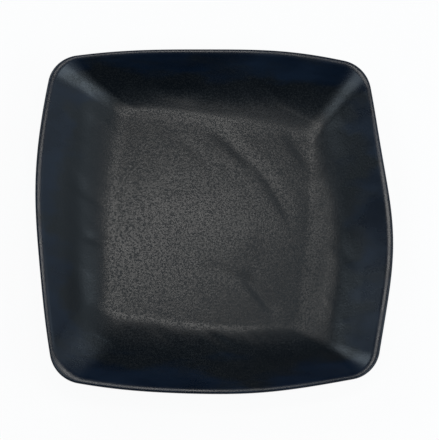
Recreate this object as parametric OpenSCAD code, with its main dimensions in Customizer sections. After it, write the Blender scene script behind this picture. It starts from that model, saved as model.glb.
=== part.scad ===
// Square dinner plate with bowed sides, an uneven rim and a turned, rippled well.
// Millimetres, +Z up. The origin lies under the middle of the plate, on the surface it stands on.
// +X is right and +Y is far, as seen from the near side.

/* [Outline] */
// Width across the bulged sides, before the swells below
plate_w = 256.6; // [220:0.1:300]
// How far the middle of a side bulges past its corners
side_bow = 12; // [6:0.5:18]
// Radius of the corners at the rim
corner_r = 24.5; // [14:0.5:36]

/* [Uneven rim] */
// Height of the two swells that lie round the rim
two_swells = 1.2; // [0:0.1:2]
// Heading of the first of the two swells
two_swells_at = 0; // [-90:1:90]
// Height of the three swells that lie round the rim
three_swells = 0.6; // [0:0.1:2]
// Heading of the first of the three swells
three_swells_at = 15; // [-60:1:60]
// Height of the four swells that lie round the rim
four_swells = 1; // [0:0.1:2]
// Heading of the first of the four swells
four_swells_at = -16; // [-45:1:45]
// Height of the five swells that lie round the rim
five_swells = 0.7; // [0:0.1:2]
// Heading of the first of the five swells
five_swells_at = -6; // [-36:1:36]
// Height of the six swells that lie round the rim
six_swells = 0.6; // [0:0.1:2]
// Heading of the first of the six swells
six_swells_at = -8; // [-30:1:30]

/* [Section] */
// Height of the rim above the table
plate_h = 31; // [24:0.5:40]
// Radius of the outer edge of the finished lip
lip_edge_r = 1.3; // [1:0.1:2.5]
// Radius of the roll from the inner wall onto the finished lip
lip_roll_r = 8.5; // [4:0.5:12]
// Slope of the walls where they meet the lip
lip_slope = 30; // [20:1:40]
// Thickness of the clay under the edge of the floor
floor_t = 5; // [3:0.1:8]
// Rise of the floor's middle above its edge
floor_dome = 0.3; // [0:0.1:1]
// Reach of the curve from the floor into the inner wall
floor_ease = 18; // [8:0.5:24]
// Reach of the curve from the foot into the outer wall
foot_ease = 26; // [10:0.5:32]
// Reach of the curves from the walls into the lip
lip_ease = 18; // [8:0.5:22]

/* [Well] */
// Width of the flat floor across its bulged edges
well_w = 140; // [120:1:160]
// How far the middle of a floor edge bulges past its corners
well_bow = 3; // [1:0.5:8]
// Radius of the corners of the floor
well_corner_r = 10; // [4:0.5:20]
// Clockwise turn of the floor against the rim
well_turn = 5.5; // [0:0.5:10]
// Shift of the floor's far left corner from a true square
far_left_shift = [1, 12]; // [-12:0.5:12]
// Shift of the floor's far right corner from a true square
far_right_shift = [1, 6]; // [-12:0.5:12]
// Shift of the floor's near right corner from a true square
near_right_shift = [-2, -2]; // [-12:0.5:12]
// Shift of the floor's near left corner from a true square
near_left_shift = [-2, -4]; // [-12:0.5:12]
// Radius to which the corners of the walls are creased, halfway up
crease_r = 9; // [5:0.5:16]
// Share of that crease in the far left corner
far_left_crease = 0.6; // [-2:0.1:1.5]
// Share of that crease in the far right corner
far_right_crease = 0.5; // [-2:0.1:1.5]
// Share of that crease in the near right corner
near_right_crease = 1; // [-2:0.1:1.5]
// Share of that crease in the near left corner, which is rounded instead
near_left_crease = -1.7; // [-2:0.1:1.5]

/* [Ripples] */
// Strength of the ripples in the well, 1 as made
ripple_strength = 1; // [0:0.1:1.3]
// Reach over which the ripples fade out below the rim coat
ripple_ease = 18; // [10:0.5:30]

/* [Foot] */
// Width of the foot ring across its bulged sides
foot_w = 138; // [110:1:150]
// Thickness of the foot ring
foot_t = 6; // [4:0.5:10]
// Height of the foot ring
foot_h = 3; // [2:0.1:5]
// Radius of the hollow between the foot ring and the underside
foot_hollow = 1.2; // [0.4:0.1:1.5]
// Radius of the foot ring's edges before it is ground flat
foot_round = 1; // [0.5:0.1:1.5]
// Depth ground off the foot ring to make it stand flat
foot_grind = 0.3; // [0.1:0.05:0.4]
// Height of the bare clay that is wiped clean on both sides of the foot ring
bare_h = 1.3; // [1:0.1:1.5]

/* [Glaze] */
// Thickness of the glaze coats
glaze_t = 0.5; // [0.2:0.1:0.8]
// Width of the rim coat inside the plate, from the rim's edge
rim_in = 17; // [8:0.5:24]
// Width of the rim coat outside the plate, from the rim's edge
rim_out = 8; // [6:0.5:20]

/* [Hidden] */

// Colours of the fired clay and of the coats
clay_colour = "#a08468";
well_colour = "#454645";
rim_colour = "#1d242e";
outer_colour = "#20242b";

// Steps along a side, round a corner and along each stretch of the section
side_steps = 12;
corner_steps = 6;
floor_steps = 12;
wall_steps = 6;
upper_steps = 3;
lip_steps = 3;
under_steps = 6;
arc_steps = 2;
base_steps = 2;
around = 4 * (side_steps + corner_steps);

half = plate_w / 2;
// Distance from the rim's edge to the floor's edge, and to the foot ring, in the middle of a side
run = half - well_w / 2;
foot_at = half - foot_w / 2;
foot_in = foot_at + foot_t;
floor_z = foot_h + floor_t;
lip_mid = [lip_edge_r, plate_h - lip_edge_r];
lip_r = lip_edge_r - glaze_t;
roll_mid = [lip_edge_r, plate_h - lip_roll_r];
roll_r = lip_roll_r - glaze_t;

// Rows of the swells round the rim: how many, how high, heading of the first
swells = [
    [2, two_swells, two_swells_at],
    [3, three_swells, three_swells_at],
    [4, four_swells, four_swells_at],
    [5, five_swells, five_swells_at],
    [6, six_swells, six_swells_at]
];

// Rows of the ripples: middle x, middle y, heading, half length, bend to its left, height, width on its left
// and on its right
ripples = [
    [16, 58, -44, 20, 1, -0.35, 6, 5],
    [45, 24, -59, 26, 2, -0.3, 6, 4],
    [-11, 52, -49, 17, 1, -0.12, 5, 4],
    [12, -38, -25, 18, 0, -0.25, 6, 5],
    [34, -53, -52, 18, 0, -0.55, 6, 4],
    [46, -36, -45, 26, 0, -0.5, 14, 18],
    [66, 57, -58, 16, 0, -0.25, 6, 5],
    [-97, 10, 90, 85, 0, -0.7, 14, 14],
    [-8, 87, -6, 72, 0, 0.65, 8, 10],
    [-27, 99, -6, 18, 0, -0.7, 8, 7],
    [40, 97, -8, 15, 0, -0.3, 8, 7],
    [42, -85, 0, 18, 0, 0.4, 9, 8],
    [-52, -82, 4, 14, 0, 0.4, 9, 9],
    [92, -74, -70, 26, 0, -0.9, 12, 12],
    [98, -30, -84, 62, 0, -1.3, 14, 14],
    [104, -30, -45, 20, 0, 0.3, 5, 4],
    [11, -91, -32, 16, 0, 0.35, 3, 4],
    [-1, -95, -35, 12, 0, 0.3, 3, 4],
    [82, 24, -75, 14, 0, 0.3, 9, 6],
    [-84, -13, -8, 12, 0, -0.35, 4, 3]
];

function total(list, i = 0) = i < len(list) ? list[i] + total(list, i + 1) : 0;

function turned(p, angle) = [
    p.x * cos(angle) - p.y * sin(angle),
    p.x * sin(angle) + p.y * cos(angle)
];

// Points of a square with bowed sides and round corners, anticlockwise from the right side's near end
function bowed_square(half_w, bow, r) =
    let (
        side_r = (pow(half_w - bow, 2) + bow * bow) / (2 * bow),
        back = side_r - half_w,
        mid = (sqrt(2 * pow(side_r - r, 2) - back * back) - back) / 2,
        reach = atan2(mid, mid + back),
        side = [
            for (i = [0:side_steps - 1])
                let (a = reach * (2 * i / side_steps - 1))
                    [side_r * cos(a) - back, side_r * sin(a)]
        ],
        corner = [
            for (i = [0:corner_steps - 1])
                let (a = reach + (90 - 2 * reach) * i / corner_steps)
                    [mid + r * cos(a), mid + r * sin(a)]
        ]
    )
    [for (k = [0:3]) each [for (p = concat(side, corner)) turned(p, 90 * k)]];

// The rim: a bowed square moved in and out by the swells, with its box in the middle
function swell_at(heading) = total([for (s = swells) s[1] * cos(s[0] * (heading - s[2]))]);
function swollen(p) = p * (1 + swell_at(atan2(p.y, p.x)) / norm(p));
swollen_rim = [for (p = bowed_square(half, side_bow, corner_r)) swollen(p)];
rim_x = [for (p = swollen_rim) p.x];
rim_y = [for (p = swollen_rim) p.y];
rim_mid = [max(rim_x) + min(rim_x), max(rim_y) + min(rim_y)] / 2;
rim = [for (p = swollen_rim) p - rim_mid];

// The floor's edge: a bowed square turned against the rim, with each corner shifted
function corner_shift(p) =
    let (
        right = p.x / well_w + 0.5,
        far = p.y / well_w + 0.5
    )
    (1 - right) * far * far_left_shift
        + right * far * far_right_shift
        + right * (1 - far) * near_right_shift
        + (1 - right) * (1 - far) * near_left_shift;
well = [for (p = bowed_square(well_w / 2, well_bow, well_corner_r)) turned(p, -well_turn) + corner_shift(p)];

// How far the level line halfway up the walls is pushed into the corners, to crease them
mid_half = (half + well_w / 2) / 2;
mid_bow = (side_bow + well_bow) / 2;
creased_line = bowed_square(mid_half, mid_bow, crease_r);
plain_line = bowed_square(mid_half, mid_bow, (corner_r + well_corner_r) / 2);
function crease_share(p) = p.y > 0
    ? (p.x > 0 ? far_right_crease : far_left_crease)
    : (p.x > 0 ? near_right_crease : near_left_crease);
crease = [
    for (i = [0:around - 1])
        (creased_line[i] - plain_line[i]) * crease_share(plain_line[i])
];

// Point i of the level line that lies d inside the rim's edge in the middle of a side
function wall_plan(i, t) = rim[i] + (well[i] - rim[i]) * t + crease[i] * 4 * t * (1 - t);
function plan(i, d) = d < run ? wall_plan(i, d / run) : well[i] * (half - d) / (half - run);

// Height of the ripples at a point of the plan
function ripple(p, row) =
    let (
        q = turned(p - [row[0], row[1]], -row[2]),
        along = q.x / row[3],
        across = q.y - row[4] * (1 - along * along),
        width = across < 0 ? row[7] : row[6]
    )
    row[5] * exp(-pow(across / width, 2) - pow(along, 4));
function relief(p) = ripple_strength * total([for (row = ripples) ripple(p, row)]);
// Height of the domed floor, d inside the rim's edge
function dome(d) = floor_dome * (1 - pow((half - d) / (half - run), 2));
// The ripples and the dome fade out over the stretch of inner wall below the rim coat
function fade(d) = let (t = min(max((d - rim_in) / ripple_ease, 0), 1)) t * t * (3 - 2 * t);

// Rows of the section: distance d inside the rim's edge, height, outward normal in d and in z, share of ripples
function flat_rows(d0, d1, z, up, steps, share) =
    [for (i = [1:steps]) [d0 + (d1 - d0) * i / steps, z, 0, up, share]];
function upright_row(d, z, outward) = [[d, z, outward, 0, 0]];
// Arc from one heading of the normal to another, 0 looking up and 90 outward, hollow where r is negative
function arc_rows(mid, r, from, to, steps) = [
    for (i = [1:steps])
        let (
            a = from + (to - from) * i / steps,
            n = [-sin(a), cos(a)],
            p = mid + r * n
        )
        [p[0], p[1], n[0], n[1], 0]
];
function curve_point(c, t) =
    pow(1 - t, 3) * c[0] + 3 * t * pow(1 - t, 2) * c[1] + 3 * t * t * (1 - t) * c[2] + t * t * t * c[3];
function curve_slope(c, t) =
    pow(1 - t, 2) * (c[1] - c[0]) + 2 * t * (1 - t) * (c[2] - c[1]) + t * t * (c[3] - c[2]);
// Stretch of a wall curve, with its normal turned up for side 1 and down for side -1
function curve_rows(c, from, to, steps, side) = [
    for (i = [1:steps])
        let (
            t = from + (to - from) * i / steps,
            p = curve_point(c, t),
            v = curve_slope(c, t) * side / norm(curve_slope(c, t))
        )
        [p[0], p[1], v[1], -v[0], side > 0 ? fade(p[0]) : 0]
];
// Where a wall curve, which runs from the middle of the plate to the lip, lies d inside the rim's edge
function curve_at(c, d, low = 0, high = 1, left = 24) =
    let (t = (low + high) / 2)
    left == 0 ? t
        : curve_point(c, t)[0] > d ? curve_at(c, d, t, high, left - 1) : curve_at(c, d, low, t, left - 1);

// Wall curves of the clay, from the floor and from the foot to the lip
lip_up = [sin(lip_slope), cos(lip_slope)];
lip_down = [cos(lip_slope), -sin(lip_slope)];
inner_end = roll_mid + roll_r * lip_up;
outer_end = lip_mid - lip_r * lip_up;
hollow_at = foot_at - foot_hollow;
inner_wall = [[run, floor_z], [run - floor_ease, floor_z], inner_end + lip_ease * lip_down, inner_end];
outer_wall = [[hollow_at, foot_h], [hollow_at - foot_ease, foot_h], outer_end + lip_ease * lip_down, outer_end];
inner_split = curve_at(inner_wall, rim_in);
outer_split = curve_at(outer_wall, rim_out);
hollow_z = foot_h - foot_hollow;
round_z = foot_round - foot_grind;

// Stretches of the section, from the middle of the floor over the lip to the middle of the base
floor_stretch = concat(
    [[half, floor_z, 0, 1, 1]],
    flat_rows(half, run, floor_z, 1, floor_steps, 1)
);
wall_stretch = curve_rows(inner_wall, 0, inner_split, wall_steps, 1);
upper_stretch = curve_rows(inner_wall, inner_split, 1, upper_steps, 1);
lip_stretch = concat(
    arc_rows(roll_mid, roll_r, -lip_slope, 0, lip_steps),
    arc_rows(lip_mid, lip_r, 0, 90, lip_steps),
    arc_rows(lip_mid, lip_r, 90, 180 - lip_slope, arc_steps)
);
over_stretch = curve_rows(outer_wall, 1, outer_split, upper_steps, -1);
under_stretch = concat(
    curve_rows(outer_wall, outer_split, 0, under_steps, -1),
    arc_rows([hollow_at, hollow_z], -foot_hollow, 180, 90, arc_steps),
    upright_row(foot_at, bare_h, -1)
);
foot_stretch = concat(
    upright_row(foot_at, round_z, -1),
    arc_rows([foot_at + foot_round, round_z], foot_round, 90, 180, arc_steps),
    flat_rows(foot_at + foot_round, foot_in - foot_round, -foot_grind, -1, 1, 0),
    arc_rows([foot_in - foot_round, round_z], foot_round, 180, 270, arc_steps),
    upright_row(foot_in, bare_h, 1)
);
base_stretch = concat(
    upright_row(foot_in, hollow_z, 1),
    arc_rows([foot_in + foot_hollow, hollow_z], -foot_hollow, 270, 180, arc_steps),
    flat_rows(foot_in + foot_hollow, half, foot_h, -1, base_steps, 0)
);

// Rows that each solid lies on. A coat starts at the last row of the stretch before it.
function last(list) = list[len(list) - 1];
well_rows = concat(floor_stretch, wall_stretch);
rim_rows = concat([last(wall_stretch)], upper_stretch, lip_stretch, over_stretch);
outer_rows = concat([last(over_stretch)], under_stretch);
base_rows = concat([last(foot_stretch)], base_stretch);
clay_rows = concat(
    floor_stretch, wall_stretch, upper_stretch, lip_stretch,
    over_stretch, under_stretch, foot_stretch, base_stretch
);

// Points on a row of the section, lifted off the clay along the normal: a ring, or one point in the middle
function in_middle(row) = row[0] >= half;
function row_point(row, p, lift) = [p.x, p.y, row[1] + lift * row[3] + row[4] * (dome(row[0]) + relief(p))];
function row_points(row, lift) = in_middle(row)
    ? [row_point(row, [0, 0], lift)]
    : [for (i = [0:around - 1]) row_point(row, plan(i, row[0] + lift * row[2]), lift)];
function all_points(rows, lift = 0) = [for (row = rows) each row_points(row, lift)];

// Triangles between two rings, and between a ring and a point in the middle, by the first point of each
function next(i) = (i + 1) % around;
function strip(a, b) = [
    for (i = [0:around - 1])
        each [[a + i, a + next(i), b + next(i)], [a + i, b + next(i), b + i]]
];
function fan_out(middle, b) = [for (i = [0:around - 1]) [middle, b + next(i), b + i]];
function fan_in(a, middle) = [for (i = [0:around - 1]) [a + i, a + next(i), middle]];

// Number of the first point of row j
function row_start(rows, j) = in_middle(rows[0]) ? max(0, 1 + (j - 1) * around) : j * around;
function row_faces(rows, j) =
    let (
        a = row_start(rows, j),
        b = row_start(rows, j + 1)
    )
    in_middle(rows[j]) ? fan_out(a, b) : in_middle(rows[j + 1]) ? fan_in(a, b) : strip(a, b);
function skin(rows) = [for (j = [0:len(rows) - 2]) each row_faces(rows, j)];
function turned_over(faces, first) = [for (f = faces) [first + f[0], first + f[2], first + f[1]]];

// Coat of glaze on rows of the clay, closed along the edges where it ends
module coat(rows) {
    outside = all_points(rows, glaze_t);
    first = len(outside);
    end = row_start(rows, len(rows) - 1);
    start_edge = in_middle(rows[0]) ? [] : strip(first, 0);
    end_edge = in_middle(last(rows)) ? [] : strip(end, first + end);
    polyhedron(
        concat(outside, all_points(rows)),
        concat(skin(rows), turned_over(skin(rows), first), start_edge, end_edge)
    );
}

// Fired clay shell with its foot ring, ground flat where it stands
module clay_body() {
    color(clay_colour) difference() {
        polyhedron(all_points(clay_rows), skin(clay_rows));
        translate([-half, -half, -half]) cube([plate_w, plate_w, half]);
    }
}

// Grained matt coat on the floor and the inner walls
module well_glaze() {
    color(well_colour) coat(well_rows);
}

// Smooth band of coat over the lip
module rim_glaze() {
    color(rim_colour) coat(rim_rows);
}

// Smooth coat outside, from the rim's band to the wiped foot
module outer_glaze() {
    color(outer_colour) coat(outer_rows);
}

// Patch of coat inside the foot ring
module base_glaze() {
    color(outer_colour) coat(base_rows);
}

clay_body();
well_glaze();
rim_glaze();
outer_glaze();
base_glaze();
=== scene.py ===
import math

import bpy
import numpy as np
from mathutils import Matrix, Vector


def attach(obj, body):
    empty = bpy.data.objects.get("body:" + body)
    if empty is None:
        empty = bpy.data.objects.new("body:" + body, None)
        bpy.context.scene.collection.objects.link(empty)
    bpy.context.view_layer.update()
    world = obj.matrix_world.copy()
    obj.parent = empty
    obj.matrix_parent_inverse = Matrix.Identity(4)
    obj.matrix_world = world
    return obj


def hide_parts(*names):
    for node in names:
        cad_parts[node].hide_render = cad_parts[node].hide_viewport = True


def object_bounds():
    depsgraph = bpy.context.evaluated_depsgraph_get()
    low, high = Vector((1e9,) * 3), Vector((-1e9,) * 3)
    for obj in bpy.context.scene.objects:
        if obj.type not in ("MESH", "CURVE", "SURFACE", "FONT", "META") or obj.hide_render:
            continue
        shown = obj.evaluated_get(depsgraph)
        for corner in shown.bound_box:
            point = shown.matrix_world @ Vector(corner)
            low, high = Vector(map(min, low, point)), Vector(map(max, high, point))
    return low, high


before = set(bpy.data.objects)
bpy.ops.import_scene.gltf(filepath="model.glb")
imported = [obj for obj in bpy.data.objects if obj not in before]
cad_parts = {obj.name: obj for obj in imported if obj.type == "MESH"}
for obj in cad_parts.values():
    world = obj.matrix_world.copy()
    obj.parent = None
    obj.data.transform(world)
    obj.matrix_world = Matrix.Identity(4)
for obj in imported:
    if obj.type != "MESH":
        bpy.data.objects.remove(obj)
cad_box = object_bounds()

# Shape of the plate, in millimetres, as the solids have it
MM = 0.001
PLATE_W = 256.6
SIDE_BOW = 12
CORNER_R = 24.5
PLATE_H = 31
LIP_EDGE_R = 1.3
LIP_ROLL_R = 8.5
LIP_SLOPE = math.radians(30)
FLOOR_T = 5
FLOOR_DOME = 0.3
FLOOR_EASE = 18
FOOT_EASE = 26
LIP_EASE = 18
WELL_W = 140
WELL_BOW = 3
WELL_CORNER_R = 10
WELL_TURN = math.radians(5.5)
CREASE_R = 9
FAR_LEFT_CREASE = 0.6
FAR_RIGHT_CREASE = 0.5
NEAR_RIGHT_CREASE = 1
NEAR_LEFT_CREASE = -1.7
FAR_LEFT_SHIFT = (1, 12)
FAR_RIGHT_SHIFT = (1, 6)
NEAR_RIGHT_SHIFT = (-2, -2)
NEAR_LEFT_SHIFT = (-2, -4)
FOOT_W = 138
FOOT_T = 6
FOOT_H = 3
FOOT_HOLLOW = 1.2
FOOT_ROUND = 1
FOOT_GRIND = 0.3
BARE_H = 1.3
GLAZE_T = 0.5
RIM_IN = 17
RIM_OUT = 8
RIPPLE_EASE = 18

# Swells round the rim: how many, how high, heading of the first
SWELLS = ((2, 1.2, 0), (3, 0.6, 15), (4, 1, -16), (5, 0.7, -6), (6, 0.6, -8))

# Ripples in the well: middle x and y, heading, half length, bend to the left, height, left and right widths
RIPPLES = (
    (16, 58, -44, 20, 1, -0.35, 6, 5),
    (45, 24, -59, 26, 2, -0.3, 6, 4),
    (-11, 52, -49, 17, 1, -0.12, 5, 4),
    (12, -38, -25, 18, 0, -0.25, 6, 5),
    (34, -53, -52, 18, 0, -0.55, 6, 4),
    (46, -36, -45, 26, 0, -0.5, 14, 18),
    (66, 57, -58, 16, 0, -0.25, 6, 5),
    (-97, 10, 90, 85, 0, -0.7, 14, 14),
    (-8, 87, -6, 72, 0, 0.65, 8, 10),
    (-27, 99, -6, 18, 0, -0.7, 8, 7),
    (40, 97, -8, 15, 0, -0.3, 8, 7),
    (42, -85, 0, 18, 0, 0.4, 9, 8),
    (-52, -82, 4, 14, 0, 0.4, 9, 9),
    (92, -74, -70, 26, 0, -0.9, 12, 12),
    (98, -30, -84, 62, 0, -1.3, 14, 14),
    (104, -30, -45, 20, 0, 0.3, 5, 4),
    (11, -91, -32, 16, 0, 0.35, 3, 4),
    (-1, -95, -35, 12, 0, 0.3, 3, 4),
    (82, 24, -75, 14, 0, 0.3, 9, 6),
    (-84, -13, -8, 12, 0, -0.35, 4, 3),
)

# Faint streaks in the well: seed, how many, how far out, heading and its spread in degrees, half lengths,
# widths of their steep and of their gentle sides, height, and the share of it that the floor keeps
STREAK_SEED = 3
STREAK_COUNT = 130
STREAK_REACH = 112
STREAK_HEADING = -42
STREAK_SPREAD = 14
STREAK_LENGTHS = (14, 32)
STREAK_STEEP = (2, 4)
STREAK_GENTLE = (5, 11)
STREAK_H = 0.13
FLOOR_STREAKS = 0.15

# Fineness of the meshes: steps along a side, round a corner and along the stretches of the section
SIDE_STEPS = 96
CORNER_STEPS = 48
FLOOR_STEPS = 110
WALL_STEPS = 70
UPPER_STEPS = 30
ARC_STEPS = 8
UNDER_STEPS = 60
BASE_STEPS = 24

# Every how many rows of a hidden face are kept, the angle from which an edge is sharp, and how often the
# search for a place on a curve halves its stretch
HIDDEN_STEP = 6
SHARP_ANGLE = math.radians(35)
HALVINGS = 40

# Places on the section that follow from the sizes above
HALF = PLATE_W / 2
RUN = HALF - WELL_W / 2
FOOT_AT = HALF - FOOT_W / 2
FOOT_IN = FOOT_AT + FOOT_T
FLOOR_Z = FOOT_H + FLOOR_T
LIP_MID = np.array((LIP_EDGE_R, PLATE_H - LIP_EDGE_R))
ROLL_MID = np.array((LIP_EDGE_R, PLATE_H - LIP_ROLL_R))
LIP_R = LIP_EDGE_R - GLAZE_T
ROLL_R = LIP_ROLL_R - GLAZE_T


def turned(points, angle):
    c, s = math.cos(angle), math.sin(angle)
    return np.column_stack((points[:, 0] * c - points[:, 1] * s, points[:, 0] * s + points[:, 1] * c))


def bowed_square(half, bow, radius):
    """Points of a bowed square with round corners, anticlockwise from the near end of its right side."""
    side_r = ((half - bow) ** 2 + bow ** 2) / (2 * bow)
    back = side_r - half
    mid = (math.sqrt(2 * (side_r - radius) ** 2 - back ** 2) - back) / 2
    reach = math.atan2(mid, mid + back)
    a = np.linspace(-reach, reach, SIDE_STEPS, endpoint=False)
    b = np.linspace(reach, math.pi / 2 - reach, CORNER_STEPS, endpoint=False)
    side = np.column_stack((side_r * np.cos(a) - back, side_r * np.sin(a)))
    corner = np.column_stack((mid + radius * np.cos(b), mid + radius * np.sin(b)))
    quarter = np.vstack((side, corner))
    return np.vstack([turned(quarter, k * math.pi / 2) for k in range(4)])


def rim_outline():
    points = bowed_square(HALF, SIDE_BOW, CORNER_R)
    heading = np.arctan2(points[:, 1], points[:, 0])
    reach = np.linalg.norm(points, axis=1)
    swell = sum(h * np.cos(n * (heading - math.radians(at))) for n, h, at in SWELLS)
    points = points * (1 + swell / reach)[:, None]
    points = points - (points.max(0) + points.min(0)) / 2
    return points * np.array(cad_box[1][:2]) / (points.max(0) * MM)


def well_outline():
    points = bowed_square(WELL_W / 2, WELL_BOW, WELL_CORNER_R)
    right = points[:, :1] / WELL_W + 0.5
    far = points[:, 1:] / WELL_W + 0.5
    shift = (
        (1 - right) * far * np.array(FAR_LEFT_SHIFT)
        + right * far * np.array(FAR_RIGHT_SHIFT)
        + right * (1 - far) * np.array(NEAR_RIGHT_SHIFT)
        + (1 - right) * (1 - far) * np.array(NEAR_LEFT_SHIFT)
    )
    return turned(points, -WELL_TURN) + shift


def crease_push():
    """How far the level line halfway up the walls is pushed, to crease or to round its corners."""
    half = (HALF + WELL_W / 2) / 2
    bow = (SIDE_BOW + WELL_BOW) / 2
    sharp = bowed_square(half, bow, CREASE_R)
    plain = bowed_square(half, bow, (CORNER_R + WELL_CORNER_R) / 2)
    right, far = plain[:, :1] > 0, plain[:, 1:] > 0
    far_share = np.where(right, FAR_RIGHT_CREASE, FAR_LEFT_CREASE)
    near_share = np.where(right, NEAR_RIGHT_CREASE, NEAR_LEFT_CREASE)
    return (sharp - plain) * np.where(far, far_share, near_share)


RIM = rim_outline()
WELL = well_outline()
CREASE = crease_push()
AROUND = len(RIM)


def plan(d):
    """Level line that lies d inside the rim's edge in the middle of a side."""
    if d < RUN:
        t = d / RUN
        return RIM + (WELL - RIM) * t + CREASE * 4 * t * (1 - t)
    return WELL * (HALF - d) / (HALF - RUN)


def smooth(t):
    t = np.clip(t, 0, 1)
    return t * t * (3 - 2 * t)


def ripple(points, row):
    x, y, heading, length, bend, height, left, right = row
    q = turned(points - np.array((x, y)), -math.radians(heading))
    along = q[:, 0] / length
    across = q[:, 1] - bend * (1 - along ** 2)
    width = np.where(across < 0, right, left)
    return height * np.exp(-(across / width) ** 2 - along ** 4)


def streak_rows():
    """Faint streaks all over the well, as split slate has them, drawn with a fixed seed."""
    draw = np.random.default_rng(STREAK_SEED)
    rows = []
    for _ in range(STREAK_COUNT):
        x, y = draw.uniform(-STREAK_REACH, STREAK_REACH, 2)
        heading = draw.normal(STREAK_HEADING, STREAK_SPREAD)
        length = draw.uniform(*STREAK_LENGTHS)
        height = draw.normal(0, STREAK_H)
        steep = draw.uniform(*STREAK_STEEP)
        gentle = draw.uniform(*STREAK_GENTLE)
        rows.append((x, y, heading, length, 0, height, gentle, steep))
    return rows


STREAKS = streak_rows()


def relief(points, streaks):
    low = sum(ripple(points, row) for row in RIPPLES)
    return low + streaks * sum(ripple(points, row) for row in STREAKS)


def streak_share(d):
    return 1 + (FLOOR_STREAKS - 1) * float(smooth((d - RUN) / RIPPLE_EASE + 1))


def dome(d):
    """How far the floor rises above its edge, and goes on sinking under the walls."""
    return FLOOR_DOME * (1 - ((HALF - d) / (HALF - RUN)) ** 2)


def fade(d):
    return float(smooth((d - RIM_IN) / RIPPLE_EASE))


# A row of the section: distance d inside the rim's edge, height, normal in d and in z, share of the relief
def flat_rows(d0, d1, z, up, steps, share):
    return [(d0 + (d1 - d0) * i / steps, z, 0, up, share) for i in range(1, steps + 1)]


def arc_rows(mid, radius, start, end, steps):
    """Arc between two headings of its normal, 0 up and 90 outward, hollow where the radius is negative."""
    rows = []
    for i in range(1, steps + 1):
        a = math.radians(start + (end - start) * i / steps)
        n = np.array((-math.sin(a), math.cos(a)))
        p = np.array(mid) + radius * n
        rows.append((p[0], p[1], n[0], n[1], 0))
    return rows


def curve_point(c, t):
    return (1 - t) ** 3 * c[0] + 3 * t * (1 - t) ** 2 * c[1] + 3 * t * t * (1 - t) * c[2] + t ** 3 * c[3]


def curve_slope(c, t):
    return (1 - t) ** 2 * (c[1] - c[0]) + 2 * t * (1 - t) * (c[2] - c[1]) + t * t * (c[3] - c[2])


def curve_rows(c, start, end, steps, side):
    rows = []
    for i in range(1, steps + 1):
        t = start + (end - start) * i / steps
        p = curve_point(c, t)
        v = curve_slope(c, t)
        v = v * side / np.linalg.norm(v)
        rows.append((p[0], p[1], v[1], -v[0], fade(p[0]) if side > 0 else 0))
    return rows


def curve_at(c, d):
    low, high = 0.0, 1.0
    for _ in range(HALVINGS):
        t = (low + high) / 2
        low, high = (t, high) if curve_point(c, t)[0] > d else (low, t)
    return (low + high) / 2


LIP_UP = np.array((math.sin(LIP_SLOPE), math.cos(LIP_SLOPE)))
LIP_DOWN = np.array((math.cos(LIP_SLOPE), -math.sin(LIP_SLOPE)))
INNER_END = ROLL_MID + ROLL_R * LIP_UP
OUTER_END = LIP_MID - LIP_R * LIP_UP
HOLLOW_AT = FOOT_AT - FOOT_HOLLOW
HOLLOW_Z = FOOT_H - FOOT_HOLLOW
ROUND_Z = FOOT_ROUND - FOOT_GRIND
INNER_WALL = np.array(
    ((RUN, FLOOR_Z), (RUN - FLOOR_EASE, FLOOR_Z), INNER_END + LIP_EASE * LIP_DOWN, INNER_END)
)
OUTER_WALL = np.array(
    ((HOLLOW_AT, FOOT_H), (HOLLOW_AT - FOOT_EASE, FOOT_H), OUTER_END + LIP_EASE * LIP_DOWN, OUTER_END)
)
INNER_SPLIT = curve_at(INNER_WALL, RIM_IN)
OUTER_SPLIT = curve_at(OUTER_WALL, RIM_OUT)

# Stretches of the section, from the middle of the floor over the lip to the middle of the base
lip_degrees = math.degrees(LIP_SLOPE)
floor_stretch = [(HALF, FLOOR_Z, 0, 1, 1)] + flat_rows(HALF, RUN, FLOOR_Z, 1, FLOOR_STEPS, 1)
wall_stretch = curve_rows(INNER_WALL, 0, INNER_SPLIT, WALL_STEPS, 1)
upper_stretch = curve_rows(INNER_WALL, INNER_SPLIT, 1, UPPER_STEPS, 1)
lip_stretch = (
    arc_rows(ROLL_MID, ROLL_R, -lip_degrees, 0, 2 * ARC_STEPS)
    + arc_rows(LIP_MID, LIP_R, 0, 90, 2 * ARC_STEPS)
    + arc_rows(LIP_MID, LIP_R, 90, 180 - lip_degrees, ARC_STEPS)
)
over_stretch = curve_rows(OUTER_WALL, 1, OUTER_SPLIT, UPPER_STEPS, -1)
under_stretch = (
    curve_rows(OUTER_WALL, OUTER_SPLIT, 0, UNDER_STEPS, -1)
    + arc_rows((HOLLOW_AT, HOLLOW_Z), -FOOT_HOLLOW, 180, 90, ARC_STEPS)
    + [(FOOT_AT, BARE_H, -1, 0, 0)]
)
foot_stretch = (
    [(FOOT_AT, ROUND_Z, -1, 0, 0)]
    + arc_rows((FOOT_AT + FOOT_ROUND, ROUND_Z), FOOT_ROUND, 90, 180, ARC_STEPS)
    + flat_rows(FOOT_AT + FOOT_ROUND, FOOT_IN - FOOT_ROUND, -FOOT_GRIND, -1, ARC_STEPS, 0)
    + arc_rows((FOOT_IN - FOOT_ROUND, ROUND_Z), FOOT_ROUND, 180, 270, ARC_STEPS)
    + [(FOOT_IN, BARE_H, 1, 0, 0)]
)
base_stretch = (
    [(FOOT_IN, HOLLOW_Z, 1, 0, 0)]
    + arc_rows((FOOT_IN + FOOT_HOLLOW, HOLLOW_Z), -FOOT_HOLLOW, 270, 180, ARC_STEPS)
    + flat_rows(FOOT_IN + FOOT_HOLLOW, HALF, FOOT_H, -1, BASE_STEPS, 0)
)


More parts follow.
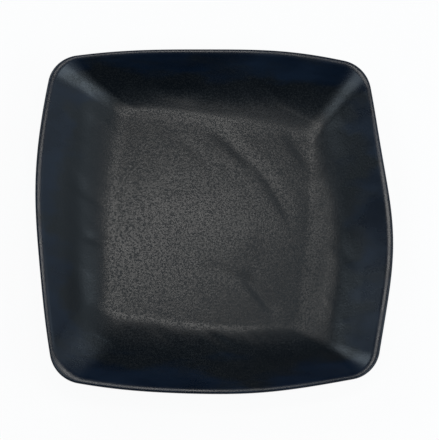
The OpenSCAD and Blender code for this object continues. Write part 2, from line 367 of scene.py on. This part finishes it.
def row_points(row, lift):
    """Ring of a row, lifted along its normal. The foot is ground flat where it would go below 0."""
    d, z, nd, nz, share = row
    flat = plan(d + lift * nd) if d < HALF else np.zeros((1, 2))
    height = z + lift * nz + (share * (dome(d) + relief(flat, streak_share(d))) if share else 0)
    return np.column_stack((flat, np.maximum(height, 0) + np.zeros(len(flat))))


def make_mesh(name, rows, insets):
    """Closed mesh through rows of points. Each row is a ring, or one point in the middle."""
    starts = np.cumsum([0] + [len(r) for r in rows])
    i = np.arange(AROUND)
    k = (i + 1) % AROUND
    faces = []
    for j in range(len(rows)):
        a, b = starts[j], starts[(j + 1) % len(rows)]
        n_a, n_b = len(rows[j]), len(rows[(j + 1) % len(rows)])
        if n_a == 1 and n_b == 1:
            continue
        if n_a == 1:
            faces += [(a, b + p, b + q) for p, q in zip(i, k)]
        elif n_b == 1:
            faces += [(a + q, a + p, b) for p, q in zip(i, k)]
        else:
            faces += [(a + p, b + p, b + q, a + q) for p, q in zip(i, k)]
    mesh = bpy.data.meshes.new(name)
    mesh.from_pydata((np.vstack(rows) * MM).tolist(), [], [tuple(int(v) for v in f) for f in faces])
    inset = mesh.attributes.new("inset", "FLOAT", "POINT")
    inset.data.foreach_set("value", np.repeat(insets, [len(r) for r in rows]).astype(np.float32))
    mesh.shade_smooth()
    mesh.set_sharp_from_angle(angle=SHARP_ANGLE)
    mesh.update()
    piece = bpy.data.objects.new(name, mesh)
    bpy.context.scene.collection.objects.link(piece)
    return piece


def thinned(rows):
    """Every few rows of a hidden face, with both ends kept."""
    return rows[:1] + rows[HIDDEN_STEP:-HIDDEN_STEP:HIDDEN_STEP] + rows[-1:]


def coat(name, rows):
    under = thinned(rows)[::-1]
    points = [row_points(r, GLAZE_T) for r in rows] + [row_points(r, 0) for r in under]
    return make_mesh(name, points, [r[0] for r in rows + under])


# Gloss of the glazes and of the bare clay, as the shader's specular level
GLAZE_SPECULAR = 0.375
CLAY_SPECULAR = 0.3

# Noises in the inner glaze: scale per metre and detail, and the squeeze of the streaky ones
DRIFT = (55, 5)
GRAIN = (885, 1)
CLOUD = (34, 3)
RIM_CLOUD = (48, 4)
PITS = (680, 1)
SQUEEZE = (0.35, 1, 1)

# How far the smooth rim's border drifts, and the drifted insets between which it turns matt, in mm
DRIFT_REACH = 90
MATT_SPAN = (50, 72)

# Stretches of the noises over which the grain's roughness and the tones change
GRAIN_SPAN = (0.42, 0.7)
TONE_SPAN = (0.36, 0.64)

# Roughness: the grain's least, its most on the walls and on the floor, what the clouds add, the rim's ends
GRAIN_ROUGHNESS = 0.261
WALL_ROUGHNESS = 0.37
FLOOR_ROUGHNESS = 0.465
CLOUD_ROUGHNESS = 0.08
RIM_ROUGHNESS = (0.26, 0.325)

# Insets between which the grain turns coarse, and between which the wall turns into floor, in mm
COARSE_SPAN = (34, 58)
WALL_FOOT_SPAN = (37, 46)

# The floor's glaze is drier towards the near right: which way, between which distances in metres, how much
DRY_WAY = (0.85, -0.5, 0)
DRY_SPAN = (0.03, 0.09)
DRY_ROUGHNESS = 0.075

# Tones of the matt grain and of the smooth rim, the rim's blue partly its own blue-black glaze and partly a
# painted blue sheen of reflected side light, and depth of the pits in metres
MATT_TONES = ((0.001, 0.0018, 0.0026), (0.002, 0.003, 0.0036))
RIM_TONES_AND_BLUE_SHEEN = ((0.0003, 0.0026, 0.008), (0.0012, 0.0066, 0.0172))
PIT_DEPTH = 0.00007

# Outside glaze: noises, stretches of the clouds over which tone and gloss change, tones, roughness, depth
OUTSIDE_CLOUD = (45, 4)
PORES = (420, 2)
OUTSIDE_TONE_SPAN = (0.35, 0.68)
OUTSIDE_GLOSS_SPAN = (0.35, 0.65)
OUTSIDE_TONES = ((0.0025, 0.0055, 0.011), (0.006, 0.009, 0.014))
OUTSIDE_ROUGHNESS = (0.3, 0.36)
PORE_DEPTH = 0.00005

# Bare clay: grain, stretch of it over which tone and gloss change, tones, roughness, depth, iron specks
CLAY_GRAIN = (700, 4)
CLAY_SPAN = (0.35, 0.7)
CLAY_TONES = ((0.26, 0.17, 0.11), (0.42, 0.3, 0.2))
CLAY_ROUGHNESS = (0.78, 0.92)
CLAY_DEPTH = 0.00008
IRON = (950, 1)
IRON_SPAN = (0.68, 0.74)
IRON_SHARE = 0.8
IRON_COLOUR = (0.05, 0.03, 0.02, 1)

# First input, second input and output of the mix node, for each kind of value
MIX_SOCKETS = {"RGBA": (6, 7, 2), "FLOAT": (2, 3, 0)}


def feed(tree, value, socket):
    """Links another node's output to a socket, or sets the socket to a plain value."""
    if isinstance(value, bpy.types.NodeSocket):
        tree.links.new(value, socket)
    else:
        socket.default_value = value


def ceramic(name, specular):
    """Material with its node tree and its shader."""
    material = bpy.data.materials.new(name)
    material.use_nodes = True
    tree = material.node_tree
    shader = tree.nodes["Principled BSDF"]
    shader.inputs["Specular IOR Level"].default_value = specular
    return material, tree, shader


def object_place(tree):
    return tree.nodes.new("ShaderNodeTexCoord").outputs["Object"]


def noise(tree, place, scale, detail):
    node = tree.nodes.new("ShaderNodeTexNoise")
    node.inputs["Scale"].default_value = scale
    node.inputs["Detail"].default_value = detail
    tree.links.new(place, node.inputs["Vector"])
    return node.outputs["Fac"]


def calculate(tree, operation, *values):
    node = tree.nodes.new("ShaderNodeMath")
    node.operation = operation
    for value, socket in zip(values, node.inputs):
        feed(tree, value, socket)
    return node.outputs[0]


def span(tree, source, ends, to_ends):
    """Smooth step from one value to another, where the source goes from one end to the other."""
    node = tree.nodes.new("ShaderNodeMapRange")
    node.interpolation_type = "SMOOTHSTEP"
    tree.links.new(source, node.inputs["Value"])
    for name, value in zip(("From Min", "From Max", "To Min", "To Max"), (*ends, *to_ends)):
        feed(tree, value, node.inputs[name])
    return node.outputs["Result"]


def ramp(tree, source, ends, colours):
    node = tree.nodes.new("ShaderNodeValToRGB")
    tree.links.new(source, node.inputs["Fac"])
    for element, end, colour in zip(node.color_ramp.elements, ends, colours):
        element.position = end
        element.color = (*colour, 1)
    return node.outputs["Color"]


def lead_mix(tree, share, low, high, socket):
    """Mix of two colours or two numbers by a share, led into a socket."""
    node = tree.nodes.new("ShaderNodeMix")
    node.data_type = "RGBA" if socket.type == "RGBA" else "FLOAT"
    first, second, out = MIX_SOCKETS[node.data_type]
    tree.links.new(share, node.inputs[0])
    feed(tree, low, node.inputs[first])
    feed(tree, high, node.inputs[second])
    tree.links.new(node.outputs[out], socket)


def lead_bump(tree, height, depth, shader):
    node = tree.nodes.new("ShaderNodeBump")
    node.inputs["Strength"].default_value = 1
    node.inputs["Distance"].default_value = depth
    tree.links.new(height, node.inputs["Height"])
    tree.links.new(node.outputs["Normal"], shader.inputs["Normal"])


def along_streaks(tree, place):
    node = tree.nodes.new("ShaderNodeMapping")
    node.inputs["Rotation"].default_value = (0, 0, -math.radians(STREAK_HEADING))
    node.inputs["Scale"].default_value = SQUEEZE
    tree.links.new(place, node.inputs["Vector"])
    return node.outputs["Vector"]


def dryness(tree, place, inset):
    """How much rougher the floor gets towards its dry side."""
    lie = tree.nodes.new("ShaderNodeVectorMath")
    lie.operation = "DOT_PRODUCT"
    lie.inputs[1].default_value = DRY_WAY
    tree.links.new(place, lie.inputs[0])
    dry = span(tree, lie.outputs["Value"], DRY_SPAN, (0, DRY_ROUGHNESS))
    on_floor = span(tree, inset, WALL_FOOT_SPAN, (0, 1))
    return calculate(tree, "MULTIPLY", dry, on_floor)


def inner_glaze(name):
    """Glaze that is smooth and blue-black at the lip, its blue partly the glaze's own and partly a painted
    blue sheen, and turns matt and grained towards the well.
    """
    material, tree, shader = ceramic(name, GLAZE_SPECULAR)
    place = object_place(tree)
    streaky = along_streaks(tree, place)
    attribute = tree.nodes.new("ShaderNodeAttribute")
    attribute.attribute_name = "inset"
    inset = attribute.outputs["Fac"]
    drifted = calculate(tree, "MULTIPLY_ADD", noise(tree, streaky, *DRIFT), DRIFT_REACH, inset)
    matt = span(tree, drifted, MATT_SPAN, (0, 1))
    grain = noise(tree, place, *GRAIN)
    coarse = span(tree, inset, COARSE_SPAN, (WALL_ROUGHNESS, FLOOR_ROUGHNESS))
    speck = span(tree, grain, GRAIN_SPAN, (GRAIN_ROUGHNESS, coarse))
    clouded = calculate(tree, "MULTIPLY_ADD", noise(tree, streaky, *CLOUD), CLOUD_ROUGHNESS, speck)
    rough = calculate(tree, "ADD", clouded, dryness(tree, place, inset))
    tone = ramp(tree, grain, TONE_SPAN, MATT_TONES)
    rim_cloud = noise(tree, streaky, *RIM_CLOUD)
    rim_rough = span(tree, rim_cloud, TONE_SPAN, RIM_ROUGHNESS)
    # The rim's tones are partly the glaze's own blue-black and partly a painted blue sheen that stands in
    # for reflected side light
    rim_tone_and_blue_sheen = ramp(tree, rim_cloud, TONE_SPAN, RIM_TONES_AND_BLUE_SHEEN)
    lead_mix(tree, matt, rim_rough, rough, shader.inputs["Roughness"])
    lead_mix(tree, matt, rim_tone_and_blue_sheen, tone, shader.inputs["Base Color"])
    pits = calculate(tree, "MULTIPLY", noise(tree, place, *PITS), matt)
    lead_bump(tree, pits, PIT_DEPTH, shader)
    return material


def outer_glaze(name):
    """Plain blue-black glaze of the outside, with clouds in its colour and gloss, and fine pores."""
    material, tree, shader = ceramic(name, GLAZE_SPECULAR)
    place = object_place(tree)
    cloud = noise(tree, place, *OUTSIDE_CLOUD)
    tree.links.new(ramp(tree, cloud, OUTSIDE_TONE_SPAN, OUTSIDE_TONES), shader.inputs["Base Color"])
    gloss = span(tree, cloud, OUTSIDE_GLOSS_SPAN, OUTSIDE_ROUGHNESS)
    tree.links.new(gloss, shader.inputs["Roughness"])
    lead_bump(tree, noise(tree, place, *PORES), PORE_DEPTH, shader)
    return material


def fired_clay(name):
    """Bare clay of the foot, with dark iron specks in it."""
    material, tree, shader = ceramic(name, CLAY_SPECULAR)
    place = object_place(tree)
    grain = noise(tree, place, *CLAY_GRAIN)
    tone = ramp(tree, grain, CLAY_SPAN, CLAY_TONES)
    iron = span(tree, noise(tree, place, *IRON), IRON_SPAN, (0, IRON_SHARE))
    lead_mix(tree, iron, tone, IRON_COLOUR, shader.inputs["Base Color"])
    tree.links.new(span(tree, grain, CLAY_SPAN, CLAY_ROUGHNESS), shader.inputs["Roughness"])
    lead_bump(tree, grain, CLAY_DEPTH, shader)
    return material


def add_piece(piece, node, material):
    piece.data.materials.append(material)
    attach(piece, "root")
    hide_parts(node)


# Rows of the section that each piece has
clay_rows = (
    floor_stretch + wall_stretch + upper_stretch + lip_stretch
    + over_stretch + under_stretch + foot_stretch + base_stretch
)
well_rows = floor_stretch + wall_stretch
rim_rows = wall_stretch[-1:] + upper_stretch + lip_stretch + over_stretch
outer_rows = over_stretch[-1:] + under_stretch
base_rows = foot_stretch[-1:] + base_stretch

outside_glaze = outer_glaze("outside_glaze")
body = make_mesh("body", [row_points(r, 0) for r in clay_rows], [r[0] for r in clay_rows])
add_piece(body, "clay_body", fired_clay("fired_clay"))
add_piece(coat("well_coat", well_rows), "well_glaze", inner_glaze("matt_glaze"))
add_piece(coat("rim_coat", rim_rows), "rim_glaze", inner_glaze("satin_glaze"))
add_piece(coat("outer_coat", outer_rows), "outer_glaze", outside_glaze)
add_piece(coat("base_coat", base_rows), "base_glaze", outside_glaze)

# Camera, from the lean at which a plate of this outline gives the photograph's outline: angles in radians,
# distance in metres, and the pixel at which the photograph has the middle of the plate
LEAN_HEADING = math.radians(-126.66)
LEAN = math.radians(13.834)
ROLL = 0.00617
CAMERA_DISTANCE = 1.2976
FOCAL_PX = 1792.4
SENSOR_MM = 36
IMAGE_W = 439
IMAGE_H = 440
PLATE_PX = (216.44, 218.31)

# Lamps: name, heading, lean from upright, distance, size, turn, brightness, colour
DAYLIGHT = (0.84, 1, 1.12)
NEUTRAL = (1, 0.985, 0.95)
LAMPS = (
    ("overhead", 78, 9.8, 0.8, (0.36, 0.1), 21, 11.2, NEUTRAL),
    ("right_key", -18, 42, 1.0, (0.27, 0.47), -18, 4.8, DAYLIGHT),
    ("right", 8, 47, 1.0, (0.84, 0.9), 8, 0.6, DAYLIGHT),
    ("left", 134, 51, 1.0, (0.34, 0.52), 134, 4.0, DAYLIGHT),
    ("near_left", -152, 29, 1.0, (0.4, 0.4), -152, 3.2, DAYLIGHT),
    ("far_right", 50, 61, 1.0, (0.14, 0.38), 50, 4.0, DAYLIGHT),
    ("near_right", -47, 58, 1.0, (0.12, 0.2), -47, 6.0, DAYLIGHT),
)

# Stage, in metres: the floor just under the foot, the low round backdrop on it, and their white
STAGE_Z = -0.0002
STAGE_REACH = 13
BACKDROP_R = 12.5
BACKDROP_H = 1.7
BACKDROP_STEPS = 48
STAGE_COLOUR = (0.92, 0.92, 0.92, 1)
STAGE_ROUGHNESS = 0.9
WHITE_SHARE = 0.94

# Faint light of the sky
SKY_COLOUR = (0.5, 1, 1.8, 1)
SKY_STRENGTH = 0.042


def way_to(heading, lean):
    """Unit vector towards a heading, at a lean from upright."""
    side = math.sin(lean)
    return Vector((side * math.cos(heading), side * math.sin(heading), math.cos(lean)))


def place_facing(thing, middle, way, distance, turn):
    """Puts a thing some way off from a point that it looks at, turned about its line of sight."""
    facing = Vector((0, 0, 1)).rotation_difference(way).to_matrix() @ Matrix.Rotation(turn, 3, "Z")
    thing.matrix_world = Matrix.Translation(middle + distance * way) @ facing.to_4x4()
    bpy.context.scene.collection.objects.link(thing)


def add_camera():
    data = bpy.data.cameras.new("camera")
    data.sensor_width = SENSOR_MM
    data.lens = FOCAL_PX * SENSOR_MM / IMAGE_H
    data.shift_x = (IMAGE_W / 2 - PLATE_PX[0]) / IMAGE_H
    data.shift_y = (PLATE_PX[1] - IMAGE_H / 2) / IMAGE_H
    camera = bpy.data.objects.new("camera", data)
    lip_middle = Vector((0, 0, LIP_MID[1] * MM))
    place_facing(camera, lip_middle, way_to(LEAN_HEADING, LEAN), CAMERA_DISTANCE, -ROLL)
    bpy.context.scene.camera = camera


def add_lamp(name, heading, lean, distance, size, turn, brightness, colour):
    """Rectangular soft light that faces the plate from a heading, at a lean from upright."""
    data = bpy.data.lights.new(name, "AREA")
    data.shape = "RECTANGLE"
    data.size, data.size_y = size
    data.energy = brightness * math.pi * size[0] * size[1]
    data.color = colour
    lamp = bpy.data.objects.new(name, data)
    lamp.visible_camera = False
    way = way_to(math.radians(heading), math.radians(lean))
    place_facing(lamp, Vector(), way, distance, math.radians(turn))


def white_stage():
    """Matt white that is plain white to the camera and in reflections, and keeps a faint shadow."""
    material = bpy.data.materials.new("stage")
    material.use_nodes = True
    tree = material.node_tree
    shader = tree.nodes["Principled BSDF"]
    shader.inputs["Base Color"].default_value = STAGE_COLOUR
    shader.inputs["Roughness"].default_value = STAGE_ROUGHNESS
    white = tree.nodes.new("ShaderNodeEmission")
    path = tree.nodes.new("ShaderNodeLightPath")
    seen = path.outputs["Is Camera Ray"]
    for ray in ("Is Glossy Ray", "Is Transmission Ray"):
        seen = calculate(tree, "MAXIMUM", seen, path.outputs[ray])
    mix = tree.nodes.new("ShaderNodeMixShader")
    tree.links.new(calculate(tree, "MULTIPLY", seen, WHITE_SHARE), mix.inputs["Fac"])
    tree.links.new(shader.outputs["BSDF"], mix.inputs[1])
    tree.links.new(white.outputs["Emission"], mix.inputs[2])
    tree.links.new(mix.outputs["Shader"], tree.nodes["Material Output"].inputs["Surface"])
    return material


def add_stage(name, points, faces, material):
    mesh = bpy.data.meshes.new(name)
    mesh.from_pydata(points, [], faces)
    mesh.materials.append(material)
    piece = bpy.data.objects.new(name, mesh)
    bpy.context.scene.collection.objects.link(piece)


def add_floor(material):
    corners = ((-1, -1), (1, -1), (1, 1), (-1, 1))
    points = [(STAGE_REACH * x, STAGE_REACH * y, STAGE_Z) for x, y in corners]
    add_stage("floor", points, [(0, 1, 2, 3)], material)


def add_backdrop(material):
    points = []
    faces = []
    for i in range(BACKDROP_STEPS):
        a = 2 * math.pi * i / BACKDROP_STEPS
        x, y = BACKDROP_R * math.cos(a), BACKDROP_R * math.sin(a)
        points += [(x, y, STAGE_Z), (x, y, BACKDROP_H)]
        k = (i + 1) % BACKDROP_STEPS
        faces.append((2 * k, 2 * i, 2 * i + 1, 2 * k + 1))
    add_stage("backdrop", points, faces, material)


def add_world():
    world = bpy.data.worlds.new("world")
    world.use_nodes = True
    sky = world.node_tree.nodes["Background"]
    sky.inputs["Color"].default_value = SKY_COLOUR
    sky.inputs["Strength"].default_value = SKY_STRENGTH
    bpy.context.scene.world = world


add_camera()
stage = white_stage()
add_floor(stage)
add_backdrop(stage)
add_world()
for lamp_row in LAMPS:
    add_lamp(*lamp_row)
bpy.context.scene.view_settings.view_transform = "Standard"
